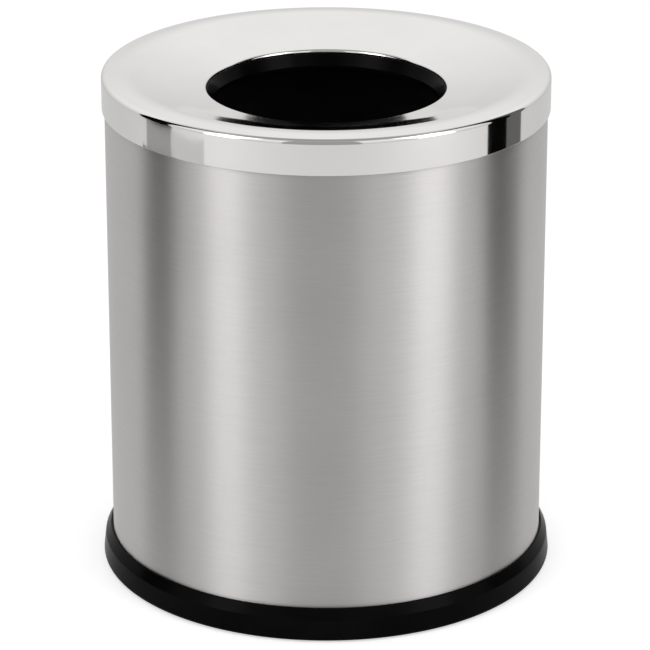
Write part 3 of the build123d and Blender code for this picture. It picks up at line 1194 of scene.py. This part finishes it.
# Name, azimuth in degrees, distance, width, lower and upper edge in metres, brightness
CARDS = (
    ("left_flag_low", -84.5, BESIDE, 0.175, 0.0, BAND_LOW, 0.002),
    ("left_flag_middle", -83.7, BESIDE, 0.134, BAND_LOW, BAND_HIGH, 0.36),
    ("left_fade", -66, BESIDE, 0.153, BAND_LOW, BAND_HIGH, 0.6),
    ("left_flag_high", -84.5, BESIDE, 0.16, BAND_HIGH, CARD_TOP, 0.002),
    ("right_flag", 86.2, BESIDE, 0.112, 0.0, CARD_TOP, 0.002),
    ("right_grey", 98.6, BESIDE, 0.098, 0.0, CARD_TOP, 0.13),
    ("front_flag", -2, 0.9, 0.6, 0.05, 1.6, 0.37),
)


class BuildStage(bpy.types.Operator):
    """Sets up the floor, the surroundings, the lamps and the camera"""

    bl_idname = "wastebasket.stage"
    bl_label = "Stage"

    def execute(self, context):
        stage = context.scene.bin_stage
        build_camera(stage)
        build_world(stage)
        build_floor(stage)
        for lamp in SOFTBOXES:
            softbox(*lamp)
        for sheet in CARDS:
            card(*sheet)
        context.scene.view_settings.view_transform = "Standard"
        return {"FINISHED"}


class BuildShell(bpy.types.Operator):
    """Builds the brushed outer shell"""

    bl_idname = "wastebasket.shell"
    bl_label = "Outer shell"

    def execute(self, context):
        scene = context.scene
        form = shell_form(scene.bin_shell)
        piece("shell", form, brushed_steel(scene.bin_looks), "shell", "outer_shell")
        return {"FINISHED"}


class BuildCover(bpy.types.Operator):
    """Builds the polished cover"""

    bl_idname = "wastebasket.cover"
    bl_label = "Cover"

    def execute(self, context):
        scene = context.scene
        form = cover_form(scene.bin_cover)
        piece("cover", form, polished_steel(scene.bin_looks), "cover", "cover_ring")
        return {"FINISHED"}


class BuildCollar(bpy.types.Operator):
    """Builds the plastic collar in the mouth"""

    bl_idname = "wastebasket.collar"
    bl_label = "Mouth collar"

    def execute(self, context):
        scene = context.scene
        form = collar_form(scene.bin_collar, scene.bin_cover)
        material = smooth_black(scene.bin_looks, "collar plastic")
        piece("collar", form, material, "cover", "mouth_collar")
        return {"FINISHED"}


class BuildRing(bpy.types.Operator):
    """Builds the flared base ring"""

    bl_idname = "wastebasket.base_ring"
    bl_label = "Base ring"

    def execute(self, context):
        scene = context.scene
        form = ring_form(scene.bin_ring, scene.bin_pads, SHELL_HIGH.x)
        material = smooth_black(scene.bin_looks, "ring plastic")
        piece("ring", form, material, "shell", "base_ring")
        return {"FINISHED"}


class BuildPlate(bpy.types.Operator):
    """Builds the pressed bottom plate"""

    bl_idname = "wastebasket.bottom_plate"
    bl_label = "Bottom plate"

    def execute(self, context):
        scene = context.scene
        form = plate_form(scene.bin_plate)
        piece("plate", form, rolled_steel(scene.bin_looks), "shell", "bottom_plate")
        return {"FINISHED"}


class BuildBucket(bpy.types.Operator):
    """Builds the inner bucket with its hand holes"""

    bl_idname = "wastebasket.bucket"
    bl_label = "Inner bucket"

    def execute(self, context):
        scene = context.scene
        looks = scene.bin_looks
        form = bucket_form(scene.bin_bucket, SHELL_HIGH.x - scene.bin_shell.hem_width)
        material = moulded(
            looks, "bucket plastic", looks.bucket, Dust=0.12, Roughness=0.5, Pebbles=1300.0, Depth=0.35
        )
        piece("bucket", form, material, "bucket", "inner_bucket")
        return {"FINISHED"}


class BuildPads(bpy.types.Operator):
    """Builds the rubber pads and finishes the screws"""

    bl_idname = "wastebasket.pads_and_screws"
    bl_label = "Pads and screws"

    def execute(self, context):
        scene = context.scene
        looks = scene.bin_looks
        circle = SHELL_HIGH.x - scene.bin_ring.pad_inset
        form = pads_form(scene.bin_pads, circle)
        material = moulded(
            looks, "pad rubber", looks.rubber, Dust=0.3, Roughness=0.62, Pebbles=900.0, Depth=0.3
        )
        piece("pads", form, material, "shell", "foot_pads")
        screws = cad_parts["base_screws"].data
        screws.materials.clear()
        screws.materials.append(zinc_steel(looks))
        return {"FINISHED"}


BUILDERS = (
    BuildStage,
    BuildShell,
    BuildCover,
    BuildCollar,
    BuildRing,
    BuildPlate,
    BuildBucket,
    BuildPads,
)

GROUPS = {
    "bin_stage": StageSizes,
    "bin_shell": ShellSizes,
    "bin_cover": CoverSizes,
    "bin_collar": CollarSizes,
    "bin_ring": RingSizes,
    "bin_plate": PlateSizes,
    "bin_bucket": BucketSizes,
    "bin_pads": PadSizes,
    "bin_looks": Finishes,
}


class WastebasketPanel(bpy.types.Panel):
    """Lists the builders"""

    bl_idname = "VIEW3D_PT_wastebasket"
    bl_label = "Wastebasket"
    bl_space_type = "VIEW_3D"
    bl_region_type = "UI"
    bl_category = "Wastebasket"

    def draw(self, context):
        for builder in BUILDERS:
            self.layout.operator(builder.bl_idname)


def register():
    """Registers the sizes, the builders and the panel."""
    for name, group in GROUPS.items():
        bpy.utils.register_class(group)
        setattr(bpy.types.Scene, name, bpy.props.PointerProperty(type=group))
    for builder in BUILDERS:
        bpy.utils.register_class(builder)
    bpy.utils.register_class(WastebasketPanel)


def unregister():
    """Takes everything out again, last first."""
    bpy.utils.unregister_class(WastebasketPanel)
    for builder in reversed(BUILDERS):
        bpy.utils.unregister_class(builder)
    for name, group in reversed(GROUPS.items()):
        delattr(bpy.types.Scene, name)
        bpy.utils.unregister_class(group)


def main():
    """Builds the stage and every piece."""
    register()
    bpy.ops.wastebasket.stage()
    bpy.ops.wastebasket.shell()
    bpy.ops.wastebasket.cover()
    bpy.ops.wastebasket.collar()
    bpy.ops.wastebasket.base_ring()
    bpy.ops.wastebasket.bottom_plate()
    bpy.ops.wastebasket.bucket()
    bpy.ops.wastebasket.pads_and_screws()


if __name__ == "__main__":
    main()
